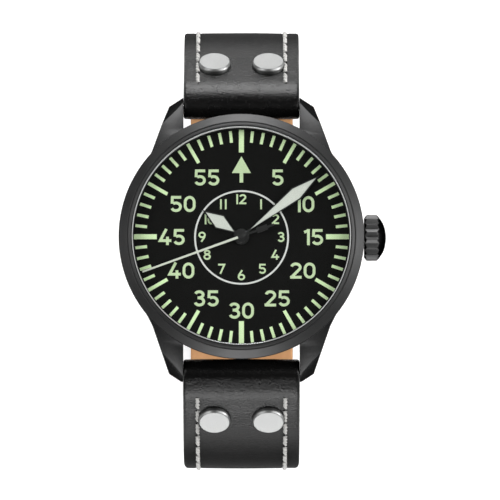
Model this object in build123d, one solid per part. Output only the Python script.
from build123d import *
from math import acos, atan2, cos, degrees, hypot, pi, radians, sin
import os

# Pilot watch on a closed leather strap, as it stands on its buckle with the dial up.
# X points to 3 o'clock (the crown), Y to 12 o'clock, Z up out of the dial. The origin is the middle
# of the case back's outer face. All lengths are millimetres and all angles degrees.

# Case, bezel and crystal
case_diameter = 42.0
case_side_inset = 0.45         # the middle is this much smaller than the bezel, all round
case_wall = 1.58               # from the middle's side in to the bore
case_bottom_chamfer = 0.9
bezel_width = 2.17             # from its outer side in to the crystal's gasket
bezel_edge_drop = 1.75         # from the crystal's top down to the outer edge of the slope
bezel_slope_width = 1.55
bezel_slope_rise = 1.1
bezel_lip_drop = 0.3
crystal_thickness = 1.5
crystal_seat = 0.26            # width of the ledge under the crystal
gasket_width = 0.15
gasket_drop = 0.45             # its top below the crystal's
dial_cover = 0.1               # the bezel's underside above the dial's face
fit = 0.05                     # air between two pieces that slide into each other

# Lugs. The bars lie beside the middle, and the lugs reach past them.
lug_gap = 20.0
lug_tip_width = 2.45
lug_tip_past_bar = 1.65        # inner corner of the tip
lug_corner_past_bar = 0.05     # outer corner of the tip
lug_root_bearing = 59.8        # where the outer edge leaves the middle's round
lug_root_inset = 0.07
lug_bend_shares = (0.543, 0.646)    # of the way in X and Y from the tip's corner to the root
lug_blend_shares = (0.743, 0.807)
lug_top_lead = 1.3             # the top starts to fall this far inside the bend
lug_tip_above_bar = 0.95
lug_tip_below_bar = 1.6
lug_tip_lean = 0.3
lug_top_bow = 0.75             # how far the top bows above its chord
strap_case_gap = 0.15          # between the strap's fold and the middle
bar_level = 1.95

# Case back with its glass
back_inset = 0.65              # the back is this much smaller than the middle, all round
back_thickness = 1.1
back_edge_chamfer = 0.55
back_thread_height = 1.5
back_rim_width = 5.3           # from its outer side in to the glass
back_notch_count = 6
back_notch_width = 2.4
back_notch_length = 1.5
back_notch_depth = 0.5

# Dial and hands. A bearing is an angle clockwise from 12 o'clock.
hand_space = 1.7               # between the dial and the crystal
dial_thickness = 0.4
hand_thickness = 0.16
lume_share = 0.75              # thickness of the luminous filling as a share of the hand's
hour_hand_height = 0.35        # underside above the dial
minute_hand_height = 0.8
seconds_hand_height = 1.24
hour_bearing = 304.3
minute_bearing = 51.9
seconds_bearing = 250.1
hand_border = 0.22             # metal edge round the luminous filling
hour_blade_start = 1.5         # the filling's start, widest place, tip and width
hour_blade_middle = 4.5
hour_blade_tip = 7.4
hour_blade_width = 2.3
hour_neck_width = 0.5
hour_hub_radius = 1.35
minute_blade_start = 1.8
minute_blade_point = 4.4       # from the widest place to the tip
minute_tip_gap = 2.12          # from the tip to the ring under the crystal
minute_blade_width = 2.05
minute_neck_width = 0.4
minute_hub_radius = 1.1
seconds_tip_gap = 0.42
seconds_width = 0.4
seconds_tip_width = 0.3
seconds_hub_radius = 0.65
seconds_tail_reach = 5.95
seconds_tail_width = 0.35
paddle_start = 2.8
paddle_end = 4.75
paddle_width = 0.95
seconds_cap_radius = 0.42
seconds_cap_height = 0.14

# Movement
holder_width = 5.87            # ring between the movement and the case
holder_height = 2.5
plate_thickness = 3.15
motion_recess_depth = 0.8
train_pocket_depth = 1.9
bridge_thickness = 1.0
bridge_inset = 0.4             # the bridges end this far inside the movement's edge
bridge_split = 0.3             # gap between two bridges
barrel_bridge_edge = 1.35      # the barrel bridge covers Y above this
arbor_radius = 0.16
pivot_clearance = 0.03
wheel_thickness = 0.2
layer_air = 0.14               # air between two layers of the train
pocket_air = 0.22              # air round each wheel in the plate
mesh_clearance = 0.04          # the tips of two wheels pass each other at twice this
tooth_height = 0.2
barrel_bearing = 25.0
barrel_teeth = 48
barrel_module_share = 0.0169   # the modules are shares of the movement's radius
barrel_height = 0.85
barrel_tooth_band = 0.3
barrel_drum_inset = 0.45
center_pinion_teeth = 9
center_teeth = 48
center_module_share = 0.01154
third_bearing = 165.0
third_pinion_teeth = 6
third_teeth = 45
seconds_pinion_teeth = 6
seconds_teeth = 60
seconds_module_share = 0.00923
escape_bearing = 235.0
escape_pinion_teeth = 6
escape_teeth = 15
escape_radius_share = 0.1692   # of the movement's radius
escape_tooth_share = 0.25      # of the escape wheel's radius
barrel_arbor_radius = 0.95
balance_spot_shares = (-0.58, -0.2746)    # of the movement's radius
balance_radius_share = 0.296
balance_rim_width = 0.5
balance_rim_height = 0.35
balance_arm_width = 0.6
balance_hub_radius = 0.6
balance_roller_height = 0.5
hairspring_outer = 2.4
hairspring_inner = 0.9
hairspring_strip = 0.12
hairspring_coils = 3
hairspring_steps = 12          # straight steps per coil
fork_pivot_share = 1.236       # shares of the escape wheel's radius, from its axis
fork_arm_shares = (0.955, 0.682)
fork_lever_share = 1.682
fork_width = 0.3
cannon_teeth = 10
minute_wheel_teeth = 30
minute_pinion_teeth = 8
hour_wheel_teeth = 32
motion_module_share = 0.01538
minute_wheel_bearing = 135.0
motion_air = 0.1
center_tube_radius = 0.4
tube_wall = 0.14
ratchet_teeth = 36
crown_wheel_teeth = 24
winding_module_share = 0.01538
crown_wheel_bearing = 126.6    # from the barrel's axis
winding_recess_depth = 0.5
winding_wheel_thickness = 0.25
winding_sink = 0.2             # how deep the winding wheels lie in the bridge
jewel_radius = 0.6
jewel_height = 0.45
cock_foot_spot_shares = (-0.7154, 0.1808)    # of the movement's radius
cock_foot_radius_share = 0.1346
cock_end_radius = 1.15
cock_thickness = 0.72

# Winding rotor
rotor_inset = 0.5              # the rotor ends this far inside the movement's edge
rotor_air = 0.1                # between the rotor's rim and the back
rotor_gap = 0.35               # between the rotor and the bridges
rotor_web_height = 0.45
rotor_rim_width = 2.3
rotor_rim_height = 0.95
rotor_hub_radius = 2.2
rotor_bore_radius = 0.95
rotor_rest_turn = 205.0
rotor_window_start = 3.4
rotor_arm_angle = 4.0          # beside the two windows
rotor_middle_angle = 48.0      # between them
bearing_post_radius = 0.9
bearing_cap_radius = 1.6
bearing_cap_height = 0.3
bearing_air = 0.12

# Crown, stem and tube
stem_height = 1.0              # the crown's axis above the movement's underside
crown_radius = 3.95
crown_gap = 0.65               # between the middle and the crown
crown_grip_length = 2.0
crown_dome_length = 1.6
crown_under_chamfer = 0.35
crown_flutes = 18
crown_flute_depth = 0.32
crown_dome_shares = ((0.37, 0.84), (0.71, 0.62), (1.0, 0.25))    # of the dome's length and the radius
crown_bore_depth = 1.35
tube_radius = 1.15
tube_bore_radius = 0.65
tube_out = 1.75                # the tube stands this far out of the middle
stem_radius = 0.42
stem_reach_share = 0.5         # of the movement's radius, from its edge in
stem_in_crown = 0.8
keyless_radius = 0.9
keyless_teeth = 12
keyless_tooth_depth = 0.14
sliding_pinion_reach_share = 0.4615
sliding_pinion_length = 1.5
winding_pinion_reach_share = 0.25
winding_pinion_length = 1.0
keyless_pocket_air = 0.55
keyless_pocket_half_width = 1.15

# Strap loop, seen from the side. The outer face's normal turns from up, past level, to down.
strap_side_gap = 0.2           # between the strap and a lug
strap_taper = 1.4
strap_thickness = 2.8
lining_thickness = 1.2
nose_radius = 2.25             # fold of leather round the spring bar
leave_angle = 25.0
rivet_angle = 51.0
shoulder_radius = 10.0
rivet_run = 10.0
upper_radius = 18.7
side_run = 5.0
lower_radius = 20.0
fold_end_run = 8.6             # the fold ends this far along the run with the rivets
buckle_bar_y = 2.1
buckle_fold = 7.0
step_start_y = -8.0            # where the long half starts to step down to the tail's level
step_end_y = 0.2
tail_angle = 47.0              # the tail ends this far up the 12 o'clock side
tail_tip_length = 7.0
tail_tip_end_width = 7.0
layer_gap = 0.1
keeper_wall = 1.0
keeper_width = 5.0
keeper_side_gap = 0.15
keeper_y = 8.4
keeper_free_angle = 33.0
strap_hole_radius = 1.0
strap_hole_pitch = 6.5
strap_holes_each_way = 2

# Buckle
buckle_length = 11.6           # spring bar to the middle of the cross bar
buckle_rail = 1.7
buckle_side_gap = 0.35
buckle_ear_radius = 1.5
crossbar_depth = 2.6
crossbar_width = 2.9
buckle_corner = 2.6
tongue_width = 2.2
tongue_thickness = 1.1
tongue_notch_gap = 0.2
tongue_notch_depth = 1.3
tongue_rest_height = 0.65      # middle of the tongue's tip above the floor
tongue_bend_before_bar = 0.5
tongue_tip_past_bar = 0.1
tongue_eye_wall = 0.5
tongue_slot_gap = 0.25

# Spring bars and rivets
bar_radius = 0.9
bar_tip_radius = 0.4
bar_tip_length = 1.0
bar_end_gap = 0.1
rivet_spread = 9.3
rivet_head_radius = 2.8
rivet_head_height = 1.2
rivet_head_bevel = 0.4

# One overrun serves every cut that has to pass right through
overrun = 1.0

# Radii and widths that follow from the sizes above, from the outside in
bezel_radius = case_diameter / 2
middle_radius = bezel_radius - case_side_inset
case_bore_radius = middle_radius - case_wall
bezel_lip_radius = bezel_radius - bezel_width
crystal_radius = bezel_lip_radius - gasket_width
rehaut_radius = crystal_radius - crystal_seat
dial_radius = case_bore_radius - fit
back_radius = middle_radius - back_inset
back_glass_radius = back_radius - back_rim_width
movement_radius = case_bore_radius - 2 * fit - holder_width
bridge_radius = movement_radius - bridge_inset
rotor_radius = movement_radius - rotor_inset
bar_distance = middle_radius + strap_case_gap + nose_radius
strap_width_at_lugs = lug_gap - 2 * strap_side_gap
strap_width_at_buckle = strap_width_at_lugs - strap_taper
leather_thickness = strap_thickness - lining_thickness

# Levels, from the back up
thread_top = back_thickness + back_thread_height
rotor_top = thread_top + rotor_air + rotor_rim_height
bridge_bottom = rotor_top + rotor_gap
plate_bottom = bridge_bottom + bridge_thickness
pocket_top = plate_bottom + train_pocket_depth
crown_level = plate_bottom + stem_height
plate_top = plate_bottom + plate_thickness
motion_floor = plate_top - motion_recess_depth
dial_level = plate_top + dial_thickness
bezel_seat = dial_level + dial_cover
crystal_bottom = dial_level + hand_space
top_level = crystal_bottom + crystal_thickness


def pitch_radius(teeth, module):
    return teeth * module / 2


def at_bearing(distance, bearing):
    """X and Y of a point at this distance from the dial's axis."""
    return distance * sin(radians(bearing)), distance * cos(radians(bearing))


barrel_module = movement_radius * barrel_module_share
center_module = movement_radius * center_module_share
seconds_module = movement_radius * seconds_module_share
motion_module = movement_radius * motion_module_share
winding_module = movement_radius * winding_module_share
escape_radius = movement_radius * escape_radius_share
balance_radius = movement_radius * balance_radius_share
cock_foot_radius = movement_radius * cock_foot_radius_share
barrel_spot = at_bearing(pitch_radius(barrel_teeth + center_pinion_teeth, barrel_module), barrel_bearing)
third_distance = pitch_radius(center_teeth + third_pinion_teeth, center_module)
third_spot = at_bearing(third_distance, third_bearing)
third_module = 2 * third_distance / (third_teeth + seconds_pinion_teeth)
escape_spot = at_bearing(pitch_radius(seconds_teeth + escape_pinion_teeth, seconds_module), escape_bearing)
balance_spot = tuple(movement_radius * share for share in balance_spot_shares)
cock_foot_spot = tuple(movement_radius * share for share in cock_foot_spot_shares)
minute_wheel_distance = pitch_radius(cannon_teeth + minute_wheel_teeth, motion_module)
minute_wheel_spot = at_bearing(minute_wheel_distance, minute_wheel_bearing)
winding_distance = pitch_radius(ratchet_teeth + crown_wheel_teeth, winding_module)
winding_offset = at_bearing(winding_distance, crown_wheel_bearing)
crown_wheel_spot = (barrel_spot[0] + winding_offset[0], barrel_spot[1] + winding_offset[1])
balance_turn = degrees(atan2(balance_spot[1] - escape_spot[1], balance_spot[0] - escape_spot[0]))
fork_pivot_distance = escape_radius * fork_pivot_share
fork_spot = (
    escape_spot[0] + fork_pivot_distance * cos(radians(balance_turn)),
    escape_spot[1] + fork_pivot_distance * sin(radians(balance_turn)),
)

# Layers of the train, from the bridges up to the dial side
seconds_wheel_level = plate_bottom + layer_air
third_wheel_level = seconds_wheel_level + wheel_thickness + layer_air
barrel_level = third_wheel_level + layer_air / 2
escape_wheel_level = third_wheel_level + wheel_thickness + 2 * layer_air
center_wheel_level = barrel_level + barrel_height + layer_air
motion_level = motion_floor + motion_air
hour_wheel_level = plate_top - motion_air - wheel_thickness

# Radii of the tubes that carry the hands, and how far the long hands reach
cannon_bore = center_tube_radius + pivot_clearance
cannon_tube_radius = cannon_bore + tube_wall
hour_bore = cannon_tube_radius + pivot_clearance
hour_tube_radius = hour_bore + tube_wall
dial_hole_radius = hour_tube_radius + fit
minute_blade_tip = rehaut_radius - minute_tip_gap
minute_blade_middle = minute_blade_tip - minute_blade_point
seconds_reach = rehaut_radius - seconds_tip_gap

# Places along the stem, from the dial's axis
crown_start = middle_radius + crown_gap
stem_start = movement_radius * (1 - stem_reach_share)
stem_end = crown_start + crown_bore_depth + stem_in_crown
sliding_pinion_start = movement_radius * (1 - sliding_pinion_reach_share)
winding_pinion_start = movement_radius * (1 - winding_pinion_reach_share)
keyless_pocket_end = winding_pinion_start + winding_pinion_length + keyless_pocket_air


# Plain solids
def disc(radius, bottom, top, spot=(0, 0)):
    """Upright cylinder between two levels."""
    return Pos(spot[0], spot[1], (bottom + top) / 2) * Cylinder(radius, top - bottom)


def ring(outer, inner, bottom, top, spot=(0, 0)):
    return disc(outer, bottom, top, spot) - disc(inner, bottom - overrun, top + overrun, spot)


def block(x_range, y_range, z_range):
    centre = [(low + high) / 2 for low, high in (x_range, y_range, z_range)]
    return Pos(*centre) * Box(*[high - low for low, high in (x_range, y_range, z_range)])


def turned(points, axis=Axis.Z, plane=Plane.XZ):
    """Solid of revolution from points of radius and level."""
    return revolve(plane * make_face(Polyline(*points, close=True)), axis=axis)


def slab(face, bottom, top, spot=(0, 0)):
    """Flat piece of this outline between two levels."""
    return Pos(spot[0], spot[1], bottom) * extrude(face, top - bottom)


def rod(radius, start, end, level):
    """Round bar along X between two places."""
    return Pos((start + end) / 2, 0, level) * Rot(0, 90, 0) * Cylinder(radius, end - start)


def across(radius, half_length, y, level):
    """Round bar along X, centred on the strap."""
    return Pos(0, y, level) * Rot(0, 90, 0) * Cylinder(radius, 2 * half_length)


def hull(circles, bottom, top):
    """Flat bar with a round at each end, from two circles of X, Y and radius."""
    (x0, y0, r0), (x1, y1, r1) = circles
    length = hypot(x1 - x0, y1 - y0)
    heading = atan2(y1 - y0, x1 - x0)
    side = acos((r0 - r1) / length)
    corners = [
        (x + r * cos(heading + way * side), y + r * sin(heading + way * side))
        for x, y, r, way in ((x0, y0, r0, 1), (x0, y0, r0, -1), (x1, y1, r1, -1), (x1, y1, r1, 1))
    ]
    body = slab(make_face(Polyline(*corners, close=True)), bottom, top)
    return body + disc(r0, bottom, top, (x0, y0)) + disc(r1, bottom, top, (x1, y1))


def toothed_face(teeth, tip, height=tooth_height):
    """Wheel outline with one point per tooth and one per gap."""
    step = pi / teeth
    points = [
        ((tip - height * (i % 2)) * cos(i * step), (tip - height * (i % 2)) * sin(i * step))
        for i in range(2 * teeth)
    ]
    return make_face(Polyline(*points, close=True))


def wheel(teeth, module, level, spot, thickness=wheel_thickness):
    """Flat toothed wheel."""
    tip = pitch_radius(teeth, module) - mesh_clearance
    return slab(toothed_face(teeth, tip), level, level + thickness, spot)


def pinion(teeth, module, bottom, top, spot=(0, 0)):
    tip = pitch_radius(teeth, module) - mesh_clearance
    return slab(toothed_face(teeth, tip, tooth_height / 2), bottom, top, spot)


def spiral(inner, outer, strip, coils, steps, bottom, top, spot):
    """Flat strip wound from the inside out."""
    def edge(offset):
        return [
            (
                (inner + (outer - inner) * i / (coils * steps) + offset) * cos(2 * pi * i / steps),
                (inner + (outer - inner) * i / (coils * steps) + offset) * sin(2 * pi * i / steps),
            )
            for i in range(coils * steps + 1)
        ]

    points = edge(strip / 2) + edge(-strip / 2)[::-1]
    return slab(make_face(Polyline(*points, close=True)), bottom, top, spot)


# Case
def toward(start, end, shares):
    """Point at these shares of the way in X and Y."""
    return tuple(a + (b - a) * share for a, b, share in zip(start, end, shares))


def lug():
    """The lug at 1 o'clock: its plan outline crossed with its side outline."""
    half_gap, tip_y = lug_gap / 2, bar_distance + lug_tip_past_bar
    corner = (half_gap + lug_tip_width, bar_distance + lug_corner_past_bar)
    root = at_bearing(middle_radius - lug_root_inset, lug_root_bearing)
    bend, blend = toward(corner, root, lug_bend_shares), toward(corner, root, lug_blend_shares)
    plan = make_face([
        Line((half_gap, root[1]), (half_gap, tip_y)),
        Line((half_gap, tip_y), corner),
        Line(corner, bend),
        ThreePointArc(bend, blend, root),
        Line(root, (half_gap, root[1])),
    ])
    start = (bend[1] - lug_top_lead, bezel_seat)
    tip = (tip_y, bar_level + lug_tip_above_bar)
    chord = hypot(tip[0] - start[0], tip[1] - start[1])
    middle = (
        (start[0] + tip[0]) / 2 + lug_top_bow * (start[1] - tip[1]) / chord,
        (start[1] + tip[1]) / 2 + lug_top_bow * (tip[0] - start[0]) / chord,
    )
    foot = (tip_y - lug_tip_lean, bar_level - lug_tip_below_bar)
    side = Plane.YZ * make_face([
        Line((0, back_thickness), (0, bezel_seat)),
        Line((0, bezel_seat), start),
        ThreePointArc(start, middle, tip),
        Line(tip, foot),
        Line(foot, (start[0], back_thickness)),
        Line((start[0], back_thickness), (0, back_thickness)),
    ])
    return extrude(plan, amount=bezel_seat, both=True) & extrude(side, amount=case_diameter, both=True)


def case_middle():
    """Middle with four lugs and the bore for the movement and the dial."""
    body = turned([
        (case_bore_radius, back_thickness),
        (middle_radius - case_bottom_chamfer, back_thickness),
        (middle_radius, back_thickness + case_bottom_chamfer),
        (middle_radius, bezel_seat),
        (case_bore_radius, bezel_seat),
    ])
    right = lug() - disc(case_bore_radius, bar_level - case_diameter, bezel_seat + overrun)
    pair = right + mirror(right, about=Plane.YZ)
    body = body + pair + mirror(pair, about=Plane.XZ)
    body -= disc(back_radius + fit, bar_level - case_diameter, back_thickness)
    for way in (1, -1):
        body -= across(bar_tip_radius + fit, lug_gap / 2 + bar_tip_length, way * bar_distance, bar_level)
    return body - rod(tube_radius, case_bore_radius - overrun, case_diameter, crown_level)


def bezel():
    """Sloped ring on the middle, with the ledge and the lip that hold the crystal."""
    edge = top_level - bezel_edge_drop
    return turned([
        (rehaut_radius, bezel_seat),
        (bezel_radius, bezel_seat),
        (bezel_radius, edge),
        (bezel_radius - bezel_slope_width, edge + bezel_slope_rise),
        (bezel_lip_radius, top_level - bezel_lip_drop),
        (bezel_lip_radius, crystal_bottom),
        (rehaut_radius, crystal_bottom),
    ])


def crystal():
    return disc(crystal_radius, crystal_bottom, top_level)


def crystal_gasket():
    return ring(bezel_lip_radius, crystal_radius, crystal_bottom, top_level - gasket_drop)


def case_back():
    """Screwed ring round the back glass, with notches for a key."""
    thread_radius = case_bore_radius - fit
    body = turned([
        (back_glass_radius, 0),
        (back_radius - back_edge_chamfer, 0),
        (back_radius, back_edge_chamfer),
        (back_radius, back_thickness),
        (thread_radius, back_thickness),
        (thread_radius, thread_top),
        (back_glass_radius, thread_top),
    ])
    notch = block(
        (back_radius - back_notch_length, back_radius + overrun),
        (-back_notch_width / 2, back_notch_width / 2),
        (-overrun, back_notch_depth),
    )
    for i in range(back_notch_count):
        body -= Rot(0, 0, (i + 1 / 2) * 360 / back_notch_count) * notch
    return body


def back_glass():
    """Glass whose outer face lies flush with the ring that holds it."""
    return disc(back_glass_radius, 0, back_thickness)


# Dial and hands
def dial():
    return ring(dial_radius, dial_hole_radius, plate_top, dial_level)


def blade_face(start, middle, tip, width):
    return make_face(Polyline((0, start), (width / 2, middle), (0, tip), (-width / 2, middle), close=True))


def lumed_hand(blade, neck_width, hub_radius, bore, height, bearing):
    """A hand's metal frame and the filling inside it."""
    start, middle, tip, width = blade
    grow = hand_border
    bottom = dial_level + height
    border = blade_face(start - 2 * grow, middle, tip + 3 * grow, width + 2 * grow)
    frame = slab(border, bottom, bottom + hand_thickness)
    frame += block((-neck_width / 2, neck_width / 2), (0, start + grow), (bottom, bottom + hand_thickness))
    frame += disc(hub_radius, bottom, bottom + hand_thickness)
    frame -= disc(bore, bottom - overrun, bottom + hand_thickness + overrun)
    face = blade_face(start, middle, tip, width)
    frame -= slab(face, bottom - overrun, bottom + hand_thickness + overrun)
    filling = slab(face, bottom, bottom + hand_thickness * lume_share)
    return Rot(0, 0, -bearing) * frame, Rot(0, 0, -bearing) * filling


def hour_hand():
    blade = (hour_blade_start, hour_blade_middle, hour_blade_tip, hour_blade_width)
    return lumed_hand(
        blade, hour_neck_width, hour_hub_radius, hour_tube_radius, hour_hand_height, hour_bearing
    )


def minute_hand():
    blade = (minute_blade_start, minute_blade_middle, minute_blade_tip, minute_blade_width)
    return lumed_hand(
        blade, minute_neck_width, minute_hub_radius, cannon_tube_radius, minute_hand_height, minute_bearing
    )


def seconds_hand():
    bottom = dial_level + seconds_hand_height
    top = bottom + hand_thickness
    needle = make_face(Polyline(
        (-seconds_width / 2, 0), (seconds_width / 2, 0),
        (seconds_tip_width / 2, seconds_reach), (-seconds_tip_width / 2, seconds_reach), close=True,
    ))
    body = slab(needle, bottom, top) + disc(seconds_hub_radius, bottom, top)
    half_tail = seconds_tail_width / 2
    body += block((-half_tail, half_tail), (-seconds_tail_reach, 0), (bottom, top))
    body += block((-paddle_width / 2, paddle_width / 2), (-paddle_end, -paddle_start), (bottom, top))
    body += disc(seconds_cap_radius, top, top + seconds_cap_height)
    body -= disc(arbor_radius, bottom - overrun, top)
    return Rot(0, 0, -seconds_bearing) * body


# Movement
def main_plate():
    """Plate with a pocket for the train on one side and for the hand wheels on the other."""
    body = disc(movement_radius, plate_bottom, plate_top)
    reach = hypot(*barrel_spot) + pitch_radius(barrel_teeth, barrel_module) + pocket_air
    pocket = disc(reach, plate_bottom - overrun, pocket_top)
    pocket += disc(balance_radius + pocket_air, plate_bottom - overrun, pocket_top, balance_spot)
    pocket -= disc(cock_foot_radius, plate_bottom - overrun, pocket_top, cock_foot_spot)
    body -= pocket
    for spot, teeth in (((0, 0), hour_wheel_teeth), (minute_wheel_spot, minute_wheel_teeth)):
        recess = pitch_radius(teeth, motion_module) + pocket_air
        body -= disc(recess, motion_floor, plate_top + overrun, spot)
    body -= block(
        (stem_start - fit, keyless_pocket_end), (-keyless_pocket_half_width, keyless_pocket_half_width),
        (pocket_top - overrun, crown_level + keyless_pocket_half_width),
    )
    body -= rod(stem_radius + fit, keyless_pocket_end - overrun, movement_radius + overrun, crown_level)
    return body - disc(center_tube_radius + pivot_clearance, plate_bottom, plate_top)


def minute_post():
    """Fixed post that the minute wheel turns on."""
    return disc(arbor_radius, motion_floor, plate_top - motion_air, minute_wheel_spot)


def movement_ring():
    """Ring that centres the movement in the case."""
    body = ring(case_bore_radius - fit, movement_radius + fit, plate_top - holder_height, plate_top)
    return body - rod(tube_bore_radius, movement_radius, case_bore_radius + overrun, crown_level)


def bridge_blank(y_range):
    """The part of the bridges' disc between two places in Y."""
    return disc(bridge_radius, bridge_bottom, plate_bottom) & block(
        (-case_diameter, case_diameter), y_range, (bridge_bottom - overrun, plate_bottom + overrun))


def barrel_bridge():
    """Upper bridge, with recesses for the two winding wheels."""
    body = bridge_blank((barrel_bridge_edge, case_diameter))
    body -= cock_arm(bridge_split, bridge_bottom - overrun, plate_bottom + overrun)
    for spot, teeth in ((barrel_spot, ratchet_teeth), (crown_wheel_spot, crown_wheel_teeth)):
        recess = pitch_radius(teeth, winding_module) + pocket_air / 2
        body -= disc(recess, bridge_bottom - overrun, bridge_bottom + winding_recess_depth, spot)
    for spot, radius in ((barrel_spot, barrel_arbor_radius), (crown_wheel_spot, arbor_radius)):
        body -= disc(radius + pivot_clearance, bridge_bottom, plate_bottom + overrun, spot)
    return body


def train_bridge():
    """Lower bridge, with room for the balance, its cock and the crown wheel."""
    body = bridge_blank((-case_diameter, barrel_bridge_edge - bridge_split))
    through = (bridge_bottom - overrun, plate_bottom + overrun)
    crown_wheel_room = pitch_radius(crown_wheel_teeth, winding_module) + pocket_air + bridge_split
    body -= disc(crown_wheel_room, *through, crown_wheel_spot)
    body -= disc(balance_radius + bridge_split, *through, balance_spot)
    body -= cock_arm(bridge_split, *through)
    body -= block((-case_diameter, balance_spot[0]), (-case_diameter, case_diameter), through)
    for spot in (third_spot, escape_spot):
        body -= disc(jewel_radius, bridge_bottom - overrun, bridge_bottom + jewel_height, spot)
        body -= disc(arbor_radius + pivot_clearance, *through, spot)
    return body - disc(arbor_radius + pivot_clearance, bridge_bottom + jewel_height, plate_bottom + overrun)


def cock_arm(grow, bottom, top):
    ends = ((*cock_foot_spot, cock_foot_radius + grow), (*balance_spot, cock_end_radius + grow))
    return hull(ends, bottom, top)


def balance_cock():
    """Arm over the balance, whose foot stands on the plate."""
    top = bridge_bottom + cock_thickness
    body = cock_arm(0, bridge_bottom, top)
    body += disc(cock_foot_radius, bridge_bottom, plate_bottom, cock_foot_spot)
    body -= disc(jewel_radius, bridge_bottom - overrun, bridge_bottom + jewel_height, balance_spot)
    return body - disc(arbor_radius + pivot_clearance, bridge_bottom, top + overrun, balance_spot)


def jewels():
    """Bearing jewels of the third wheel, the escape wheel and the balance, one group."""
    return Compound(children=[
        disc(jewel_radius, bridge_bottom, bridge_bottom + jewel_height, spot)
        for spot in (third_spot, escape_spot, balance_spot)
    ])


def arbor(spot):
    """Thin shaft from its jewel to the plate."""
    return disc(arbor_radius, bridge_bottom + jewel_height + fit, pocket_top - fit, spot)


def barrel():
    """Closed drum with its toothed edge on the dial side."""
    tip = pitch_radius(barrel_teeth, barrel_module) - mesh_clearance
    top = barrel_level + barrel_height
    body = slab(toothed_face(barrel_teeth, tip), top - barrel_tooth_band, top, barrel_spot)
    return body + disc(tip - barrel_drum_inset, barrel_level, top - barrel_tooth_band, barrel_spot)


def barrel_arbor():
    """Shaft of the ratchet wheel, which winds the barrel."""
    bottom = bridge_bottom + winding_sink + winding_wheel_thickness
    return disc(barrel_arbor_radius, bottom, barrel_level - fit, barrel_spot)


def ratchet_wheel():
    level = bridge_bottom + winding_sink
    return wheel(ratchet_teeth, winding_module, level, barrel_spot, winding_wheel_thickness)


def crown_wheel():
    level = bridge_bottom + winding_sink
    body = wheel(crown_wheel_teeth, winding_module, level, crown_wheel_spot, winding_wheel_thickness)
    return body + disc(arbor_radius, level, plate_bottom - fit, crown_wheel_spot)


def center_wheel():
    """Wheel on a hollow arbor, which carries the tube of the minute hand."""
    body = wheel(center_teeth, center_module, center_wheel_level, (0, 0))
    low = barrel_level + barrel_height - barrel_tooth_band - layer_air
    body += pinion(center_pinion_teeth, barrel_module, low, center_wheel_level)
    body += disc(center_tube_radius, center_wheel_level, dial_level + hour_hand_height)
    return body - disc(arbor_radius + pivot_clearance, plate_bottom, top_level)


def third_wheel():
    body = wheel(third_teeth, third_module, third_wheel_level, third_spot)
    top = center_wheel_level + wheel_thickness + fit
    body += pinion(third_pinion_teeth, center_module, third_wheel_level, top, third_spot)
    return body + arbor(third_spot)


def seconds_wheel():
    """Wheel at the dial's middle, whose long arbor carries the seconds hand."""
    body = wheel(seconds_teeth, seconds_module, seconds_wheel_level, (0, 0))
    pinion_top = third_wheel_level + wheel_thickness + fit
    body += pinion(seconds_pinion_teeth, third_module, seconds_wheel_level, pinion_top)
    top = dial_level + seconds_hand_height + hand_thickness
    return body + disc(arbor_radius, bridge_bottom + jewel_height + fit, top)


def escape_wheel():
    body = slab(toothed_face(escape_teeth, escape_radius, escape_radius * escape_tooth_share), escape_wheel_level,
                escape_wheel_level + wheel_thickness, escape_spot)
    body += pinion(escape_pinion_teeth, seconds_module, seconds_wheel_level - layer_air / 2,
                   escape_wheel_level, escape_spot)
    return body + arbor(escape_spot)


def pallet_fork():
    """Fork whose two arms straddle the escape wheel."""
    half, quarter = fork_width / 2, fork_width / 4
    arm_x, arm_y = (escape_radius * share for share in fork_arm_shares)
    side = [
        (escape_radius * fork_lever_share, quarter),
        (fork_pivot_distance + fork_width, half),
        (arm_x + half, arm_y + quarter),
        (arm_x - half, arm_y - quarter),
    ]
    outline = side + [(fork_pivot_distance - fork_width, 0)] + [(x, -y) for x, y in side[::-1]]
    body = Rot(0, 0, balance_turn) * slab(
        make_face(Polyline(*outline, close=True)), escape_wheel_level, escape_wheel_level + wheel_thickness)
    foot = seconds_wheel_level + balance_rim_height + layer_air
    return Pos(*escape_spot, 0) * body + disc(arbor_radius, foot, pocket_top - fit, fork_spot)


def balance_wheel():
    bottom = seconds_wheel_level
    top = bottom + balance_rim_height
    body = ring(balance_radius, balance_radius - balance_rim_width, bottom, top)
    body += Pos(0, 0, (bottom + top) / 2) * Box(
        2 * balance_radius - balance_rim_width, balance_arm_width, balance_rim_height)
    body += disc(balance_hub_radius, bottom, top + balance_roller_height)
    return Pos(*balance_spot, 0) * Rot(0, 0, balance_turn) * body + arbor(balance_spot)


def hairspring():
    bottom = bridge_bottom + cock_thickness + layer_air / 2
    return spiral(hairspring_inner, hairspring_outer, hairspring_strip, hairspring_coils, hairspring_steps,
                  bottom, bottom + layer_air, balance_spot)


def cannon_pinion():
    """Tube with a pinion that turns the minute hand."""
    top = dial_level + minute_hand_height + hand_thickness
    body = disc(cannon_tube_radius, motion_floor + fit, top)
    body += pinion(cannon_teeth, motion_module, motion_level, motion_level + wheel_thickness)
    return body - disc(cannon_bore, motion_floor - overrun, top + overrun)


def minute_wheel():
    body = slab(toothed_face(minute_wheel_teeth, pitch_radius(minute_wheel_teeth, motion_module) - mesh_clearance),
                motion_level, motion_level + wheel_thickness, minute_wheel_spot)
    body += pinion(minute_pinion_teeth, motion_module, motion_level + wheel_thickness, plate_top - motion_air,
                   minute_wheel_spot)
    return body - disc(arbor_radius + pivot_clearance, motion_floor, dial_level, minute_wheel_spot)


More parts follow.
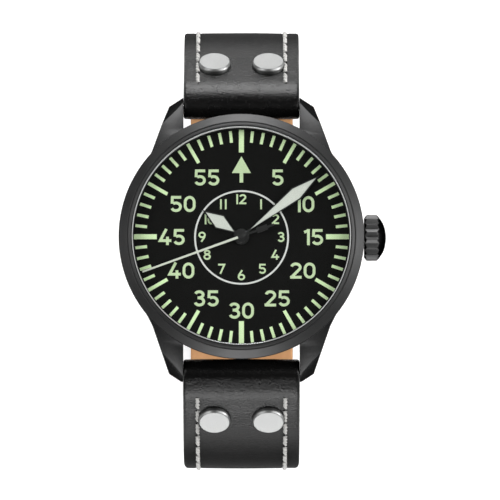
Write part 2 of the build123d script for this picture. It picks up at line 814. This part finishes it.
def hour_wheel():
    tip = pitch_radius(hour_wheel_teeth, motion_module) - mesh_clearance
    body = slab(toothed_face(hour_wheel_teeth, tip), hour_wheel_level, hour_wheel_level + wheel_thickness)
    body += disc(hour_tube_radius, hour_wheel_level, dial_level + hour_hand_height + hand_thickness)
    return body - disc(hour_bore, motion_floor, top_level)


# Winding rotor
def rotor():
    """Half disc with a heavy rim and two windows, on a hub."""
    web = disc(rotor_radius, rotor_top - rotor_web_height, rotor_top)
    rim = ring(rotor_radius, rotor_radius - rotor_rim_width, rotor_top - rotor_rim_height, rotor_top)
    half = block((-case_diameter, case_diameter), (0, case_diameter), (-case_diameter, case_diameter))
    body = (web + rim) & half
    inner = rotor_radius - rotor_rim_width - rotor_rim_width / 4
    first, last = radians(rotor_arm_angle), radians(90 - rotor_middle_angle / 2)
    for way in (1, -1):
        side = [
            (way * r * cos(angle), r * sin(angle))
            for r, angle in (
                (rotor_window_start, first), (2 * rotor_radius, first),
                (2 * rotor_radius, last), (rotor_window_start, last),
            )
        ]
        low, high = rotor_top - rotor_web_height - overrun, rotor_top + overrun
        window = slab(make_face(Polyline(*side, close=True)), low, high)
        body -= window & disc(inner, low, high)
    body += disc(rotor_hub_radius, rotor_top - rotor_web_height, rotor_top)
    body -= disc(rotor_bore_radius, 0, top_level)
    return Rot(0, 0, rotor_rest_turn) * body


def rotor_bearing():
    """Post and cap that hold the rotor on the train bridge."""
    web_bottom = rotor_top - rotor_web_height
    cap_top = web_bottom - bearing_air
    post = disc(bearing_post_radius, cap_top, bridge_bottom)
    return post + disc(bearing_cap_radius, cap_top - bearing_cap_height, cap_top)


# Crown and keyless work
def crown_section(place, radius):
    """Fluted outline across the crown, shrunk alike all round where the crown narrows."""
    face = toothed_face(crown_flutes, radius, crown_flute_depth * radius / crown_radius)
    return Plane.YZ.offset(place) * face


def crown():
    """Fluted crown with a domed end and a bore that slides over the tube."""
    grip_end = crown_start + crown_grip_length
    body = loft([
        crown_section(crown_start, crown_radius - crown_under_chamfer),
        crown_section(crown_start + crown_under_chamfer, crown_radius),
        crown_section(grip_end, crown_radius),
        *(crown_section(grip_end + crown_dome_length * along_share, crown_radius * radius_share)
          for along_share, radius_share in crown_dome_shares),
    ], ruled=True)
    body = Pos(0, 0, crown_level) * body
    body -= rod(tube_radius + fit, crown_start - overrun, crown_start + crown_bore_depth, crown_level)
    return body - rod(stem_radius, crown_start, stem_end, crown_level)


def crown_tube():
    body = rod(tube_radius, case_bore_radius - overrun, middle_radius + tube_out, crown_level)
    body -= rod(tube_bore_radius, case_bore_radius - 2 * overrun, case_diameter, crown_level)
    return body - disc(case_bore_radius, back_thickness, top_level)


def stem():
    return rod(stem_radius, stem_start, stem_end, crown_level)


def keyless_pinion(start, length):
    """Toothed sleeve on the stem."""
    face = Plane.YZ * toothed_face(keyless_teeth, keyless_radius, keyless_tooth_depth)
    body = Pos(start, 0, crown_level) * extrude(face, length)
    return body - rod(stem_radius + pivot_clearance, start - overrun, start + length + overrun, crown_level)


# Strap loop. A path is a list of bends (radius of the outer face, final turn) and runs (None, length).
def normal(angle):
    """Outward direction in Y and Z of the outer face where it has turned this far."""
    return sin(radians(angle)), cos(radians(angle))


def shifted(point, angle, depth):
    """The point this far under the outer face."""
    n = normal(angle)
    return point[0] - depth * n[0], point[1] - depth * n[1]


def along(point, angle, distance):
    n = normal(angle)
    return point[0] + distance * n[1], point[1] - distance * n[0]


def walk(point, angle, path):
    """Point and angle at the end of a path."""
    for radius, amount in path:
        if radius is None:
            point = along(point, angle, amount)
        else:
            centre = shifted(point, angle, radius)
            point, angle = shifted(centre, amount, -radius), amount
    return point, angle


def path_edges(point, angle, path, depth):
    """Edges that follow the path at this depth under the outer face, and their two ends."""
    edges = []
    first = shifted(point, angle, depth)
    for radius, amount in path:
        start = shifted(point, angle, depth)
        if radius is None:
            point = along(point, angle, amount)
            edges.append(Line(start, shifted(point, angle, depth)))
        else:
            centre = shifted(point, angle, radius)
            half = (angle + amount) / 2
            middle = shifted(centre, half, depth - radius)
            point, angle = shifted(centre, amount, -radius), amount
            edges.append(ThreePointArc(start, middle, shifted(point, angle, depth)))
    return edges, first, shifted(point, angle, depth)


def band(point, angle, path, outer_depth, inner_depth):
    """Face between two depths along the path."""
    outer, outer_first, outer_last = path_edges(point, angle, path, outer_depth)
    inner, inner_first, inner_last = path_edges(point, angle, path, inner_depth)
    return make_face(outer + inner + [Line(outer_first, inner_first), Line(outer_last, inner_last)])


def strap_solid(face):
    """Side outline carried across, and narrowed from the lugs down to the buckle."""
    top_half, low_half = strap_width_at_lugs / 2, strap_width_at_buckle / 2
    ceiling = bar_level + nose_radius + overrun
    sides = make_face(Polyline(
        (-top_half, ceiling), (top_half, ceiling), (top_half, taper_top), (low_half, taper_bottom),
        (low_half, floor_level), (-low_half, floor_level), (-low_half, taper_bottom),
        (-top_half, taper_top), close=True,
    ))
    blank = extrude(Plane.XZ * sides, amount=case_diameter, both=True)
    return extrude(Plane.YZ * face, amount=strap_width_at_lugs, both=True) & blank


bar_point = (bar_distance, bar_level)
leave_point = shifted(bar_point, leave_angle, -nose_radius)
upper_path = [(shoulder_radius, rivet_angle), (None, rivet_run), (upper_radius, 90.0)]
short_side = upper_path + [(None, side_run), (lower_radius, 180.0)]
(flat_start_y, short_face_level), _ = walk(leave_point, leave_angle, short_side)
floor_level = short_face_level - layer_gap - strap_thickness - keeper_wall
tail_face_level = floor_level + keeper_wall
crossbar_top = floor_level + crossbar_depth
long_face_level = crossbar_top + layer_gap
taper_top = bar_level - nose_radius
taper_bottom = short_face_level + lower_radius
buckle_bar_level = short_face_level + strap_thickness / 2
crossbar_y = buckle_bar_y - buckle_length
arc_centre = (flat_start_y, short_face_level + lower_radius)


def step_bend():
    """Radius and turn of the two bends that lower the long half to the tail's level."""
    run, drop = step_end_y - step_start_y, long_face_level - tail_face_level
    turn = 2 * atan2(drop, run)
    return run / (2 * sin(turn)), degrees(turn)


step_radius, step_turn = step_bend()
long_path = upper_path + [
    (None, side_run + short_face_level - long_face_level),
    (lower_radius, 180.0),
    (None, flat_start_y + step_start_y),
    (-step_radius, 180.0 - step_turn),
    (step_radius, 180.0),
    (None, flat_start_y - step_end_y),
    (lower_radius + layer_gap + strap_thickness, 180.0 + tail_angle),
]


def fold_outline(path_to_fold):
    """Side outline of the leather folded round the spring bar, as far as the fold's end."""
    edges, first, last = path_edges(leave_point, leave_angle, path_to_fold, 0)
    end = shifted(last, rivet_angle, strap_thickness)
    reach = hypot(end[0] - bar_point[0], end[1] - bar_point[1])
    heading = atan2(end[1] - bar_point[1], end[0] - bar_point[0]) - acos(nose_radius / reach)
    tangent = (bar_point[0] + nose_radius * cos(heading), bar_point[1] + nose_radius * sin(heading))
    edges += [Line(last, end), Line(end, tangent), Line(tangent, bar_point), Line(bar_point, first)]
    return make_face(edges)


fold_path = [(shoulder_radius, rivet_angle), (None, fold_end_run)]
fold_point, _ = walk(leave_point, leave_angle, fold_path)


def lining_path(path):
    """The path from the fold's end on."""
    return [(None, rivet_run - fold_end_run)] + path[2:]


def nose():
    return across(nose_radius, strap_width_at_lugs / 2, bar_distance, bar_level)


def rivet(x):
    """Rivet with its head on the leather's outer face."""
    point, angle = walk(leave_point, leave_angle, [(shoulder_radius, rivet_angle), (None, rivet_run / 2)])
    head = turned([
        (0, 0), (rivet_head_radius, 0), (rivet_head_radius, rivet_head_height - rivet_head_bevel),
        (rivet_head_radius - rivet_head_bevel, rivet_head_height), (0, rivet_head_height),
    ])
    return Pos(x, point[0], point[1]) * Rot(-angle, 0, 0) * head


def rivets():
    """Four rivet heads, one group."""
    pairs = [rivet(way * rivet_spread / 2) for way in (-1, 1)]
    return Compound(children=pairs + [mirror(item, about=Plane.XZ) for item in pairs])


def strap_half(path, lined_path):
    """Leather and lining of one half, both on the 12 o'clock side."""
    lining = strap_solid(
        band(fold_point, rivet_angle, lining_path(lined_path), leather_thickness, strap_thickness))
    whole = strap_solid(fold_outline(fold_path)) + nose()
    whole += strap_solid(band(fold_point, rivet_angle, lining_path(path), 0, strap_thickness))
    whole -= across(bar_radius + fit, strap_width_at_lugs, bar_distance, bar_level)
    return whole, lining


def short_half():
    """Half at 12 o'clock, whose end folds round the buckle's bar."""
    path = short_side + [(None, flat_start_y - buckle_bar_y)]
    lined_path = short_side + [(None, flat_start_y - buckle_bar_y - buckle_fold)]
    whole, lining = strap_half(path, lined_path)
    end = across(strap_thickness / 2, strap_width_at_buckle / 2, buckle_bar_y, buckle_bar_level)
    whole = whole - lining + end
    whole -= across(bar_radius + fit, strap_width_at_lugs, buckle_bar_y, buckle_bar_level)
    slot = tongue_width / 2 + tongue_slot_gap
    reach = bar_radius + tongue_eye_wall + tongue_slot_gap
    whole -= block(
        (-slot, slot),
        (buckle_bar_y - reach, buckle_bar_y + reach),
        (floor_level, buckle_bar_level + strap_thickness),
    )
    return whole, lining


def station(path, distance):
    """Point and angle at this distance along a path from the leave point."""
    point, angle = leave_point, leave_angle
    for radius, amount in path:
        length = amount if radius is None else abs(radians(amount - angle) * radius)
        if distance <= length:
            if radius is None:
                return along(point, angle, distance), angle
            part = angle + (amount - angle) * distance / length
            return walk(point, angle, [(radius, part)])
        distance -= length
        point, angle = walk(point, angle, [(radius, amount)])
    return point, angle


def path_length(path):
    point, angle, total = leave_point, leave_angle, 0.0
    for radius, amount in path:
        total += amount if radius is None else abs(radians(amount - angle) * radius)
        point, angle = walk(point, angle, [(radius, amount)])
    return total


def long_half():
    """Half at 6 o'clock with its row of holes, whose tail lies on the other half."""
    whole, lining = strap_half(long_path, long_path)
    leather = whole - lining
    middle = path_length(long_path[:7]) + radians(step_turn) * step_radius / 2
    punch = []
    for i in range(-strap_holes_each_way, strap_holes_each_way + 1):
        if i != 0:
            point, angle = station(long_path, middle + i * strap_hole_pitch)
            hole = Pos(0, *point) * Rot(-angle, 0, 0) * Cylinder(strap_hole_radius, 3 * strap_thickness)
            punch.append(hole)
    end, angle = station(long_path, path_length(long_path))
    half_end, half = tail_tip_end_width / 2, strap_width_at_lugs
    for way in (1, -1):
        corner = make_face(Polyline(
            (way * half_end, -overrun), (way * half_end, 0),
            (way * strap_width_at_buckle / 2, tail_tip_length), (way * half, tail_tip_length),
            (way * half, -overrun), close=True,
        ))
        cutter = extrude(corner, amount=2 * strap_thickness, both=True)
        punch.append(Pos(0, *end) * Rot(180 - angle, 0, 0) * cutter)
    leather, lining = [mirror(piece, about=Plane.XZ) for piece in (leather - punch, lining - punch)]
    passage = tongue_bar(tongue_slot_gap)
    return leather - passage, lining - passage


def keeper_fixed():
    """Leather loop round both layers, which the watch stands on."""
    inner = strap_width_at_buckle / 2 + keeper_side_gap
    top = short_face_level + strap_thickness
    y_range = (keeper_y - keeper_width / 2, keeper_y + keeper_width / 2)
    body = block((-inner - keeper_wall, inner + keeper_wall), y_range, (floor_level, top + keeper_wall))
    passage = (y_range[0] - overrun, y_range[1] + overrun)
    return body - block((-inner, inner), passage, (tail_face_level, top))


def keeper_free():
    """Leather loop that slides along the bend of the 12 o'clock side."""
    inner_x = strap_width_at_buckle / 2 + keeper_side_gap
    inner_r = lower_radius - strap_thickness - keeper_side_gap
    outer_r = lower_radius + layer_gap + strap_thickness + keeper_side_gap
    turn = degrees(keeper_width / lower_radius)

    def sector(half_x, low_r, high_r, spread):
        face = Plane.XZ * Pos(0, -(low_r + high_r) / 2) * Rectangle(2 * half_x, high_r - low_r)
        solid = revolve(face, axis=Axis.X, revolution_arc=spread)
        return Rot(-spread / 2, 0, 0) * solid

    body = sector(inner_x + keeper_wall, inner_r - keeper_wall, outer_r + keeper_wall, turn)
    body -= sector(inner_x, inner_r, outer_r, 2 * turn)
    return Pos(0, *arc_centre) * Rot(keeper_free_angle, 0, 0) * body


# Buckle
def buckle_frame():
    """Frame that slopes from the bar's ears down to the cross bar."""
    inner = strap_width_at_buckle / 2 + buckle_side_gap
    outer = inner + buckle_rail
    near, far = crossbar_y + crossbar_width / 2, crossbar_y - crossbar_width / 2
    ear = (buckle_bar_y, buckle_bar_level)

    def tangent(point, way):
        reach = hypot(ear[0] - point[0], ear[1] - point[1])
        heading = atan2(point[1] - ear[1], point[0] - ear[0]) + way * acos(buckle_ear_radius / reach)
        return ear[0] + buckle_ear_radius * cos(heading), ear[1] + buckle_ear_radius * sin(heading)

    low, high = (near, floor_level), (near, crossbar_top)
    side = make_face(Polyline(
        (far, floor_level), low, tangent(low, 1), ear,
        tangent(high, -1), high, (far, crossbar_top), close=True,
    ))
    body = extrude(Plane.YZ * side, amount=outer, both=True) + across(buckle_ear_radius, outer, *ear)
    plan = Pos(0, (far + near + buckle_length) / 2 + outer) * RectangleRounded(
        2 * outer, buckle_length + crossbar_width + 2 * outer, buckle_corner)
    body &= Pos(0, 0, floor_level) * extrude(plan, buckle_length)
    body -= block((-inner, inner), (near, case_diameter), (floor_level - overrun, 0))
    notch = tongue_width / 2 + tongue_notch_gap
    notch_top = floor_level + tongue_notch_depth
    body -= block((-notch, notch), (far - overrun, near + overrun), (floor_level - overrun, notch_top))
    return body - across(bar_tip_radius + fit, inner + bar_tip_length, *ear)


def tongue_bar(grow):
    """The tongue's bar, or the passage for it when grown."""
    half = tongue_thickness / 2 + grow
    rest = floor_level + tongue_rest_height
    bend_y = crossbar_y + crossbar_width / 2 + tongue_bend_before_bar
    tip_y = crossbar_y - crossbar_width / 2 - tongue_tip_past_bar
    ear = (buckle_bar_y, buckle_bar_level)
    slope = atan2(ear[1] - rest, ear[0] - bend_y)
    up = (-half * sin(slope), half * cos(slope))
    face = make_face(Polyline(
        (tip_y, rest - half), (bend_y, rest - half), (ear[0] - up[0], ear[1] - up[1]),
        (ear[0] + up[0], ear[1] + up[1]), (bend_y, rest + half), (tip_y, rest + half), close=True,
    ))
    return extrude(Plane.YZ * face, amount=tongue_width / 2 + grow, both=True)


def buckle_tongue():
    eye = across(bar_radius + fit + tongue_eye_wall, tongue_width / 2, buckle_bar_y, buckle_bar_level)
    body = tongue_bar(0) + eye
    return body - across(bar_radius + fit, tongue_width, buckle_bar_y, buckle_bar_level)


def spring_bar(gap, y, level):
    """Bar with a thin tip at each end, between two walls this far apart."""
    body = across(bar_radius, gap / 2 - bar_end_gap, y, level)
    return body + across(bar_tip_radius, gap / 2 + bar_tip_length - fit, y, level)


hour_parts = hour_hand()
minute_parts = minute_hand()
short_leather, short_lining = short_half()
long_leather, long_lining = long_half()
buckle_gap = strap_width_at_buckle + 2 * buckle_side_gap

parts = {
    "case_middle": case_middle(),
    "bezel": bezel(),
    "crystal": crystal(),
    "crystal_gasket": crystal_gasket(),
    "case_back": case_back(),
    "back_glass": back_glass(),
    "dial": dial(),
    "hour_hand": hour_parts[0],
    "hour_hand_lume": hour_parts[1],
    "minute_hand": minute_parts[0],
    "minute_hand_lume": minute_parts[1],
    "seconds_hand": seconds_hand(),
    "movement_ring": movement_ring(),
    "main_plate": main_plate(),
    "minute_post": minute_post(),
    "barrel_bridge": barrel_bridge(),
    "train_bridge": train_bridge(),
    "balance_cock": balance_cock(),
    "jewels": jewels(),
    "barrel": barrel(),
    "barrel_arbor": barrel_arbor(),
    "ratchet_wheel": ratchet_wheel(),
    "crown_wheel": crown_wheel(),
    "center_wheel": center_wheel(),
    "third_wheel": third_wheel(),
    "seconds_wheel": seconds_wheel(),
    "escape_wheel": escape_wheel(),
    "pallet_fork": pallet_fork(),
    "balance_wheel": balance_wheel(),
    "hairspring": hairspring(),
    "cannon_pinion": cannon_pinion(),
    "minute_wheel": minute_wheel(),
    "hour_wheel": hour_wheel(),
    "rotor": rotor(),
    "rotor_bearing": rotor_bearing(),
    "crown": crown(),
    "crown_tube": crown_tube(),
    "stem": stem(),
    "winding_pinion": keyless_pinion(winding_pinion_start, winding_pinion_length),
    "sliding_pinion": keyless_pinion(sliding_pinion_start, sliding_pinion_length),
    "strap_12_leather": short_leather,
    "strap_12_lining": short_lining,
    "strap_6_leather": long_leather,
    "strap_6_lining": long_lining,
    "keeper_fixed": keeper_fixed(),
    "keeper_free": keeper_free(),
    "rivets": rivets(),
    "buckle_frame": buckle_frame(),
    "buckle_tongue": buckle_tongue(),
    "buckle_bar": spring_bar(buckle_gap, buckle_bar_y, buckle_bar_level),
    "spring_bar_12": spring_bar(lug_gap, bar_distance, bar_level),
    "spring_bar_6": spring_bar(lug_gap, -bar_distance, bar_level),
}

os.makedirs("parts", exist_ok=True)
for name, shape in parts.items():
    export_step(shape, f"parts/{name}.step")
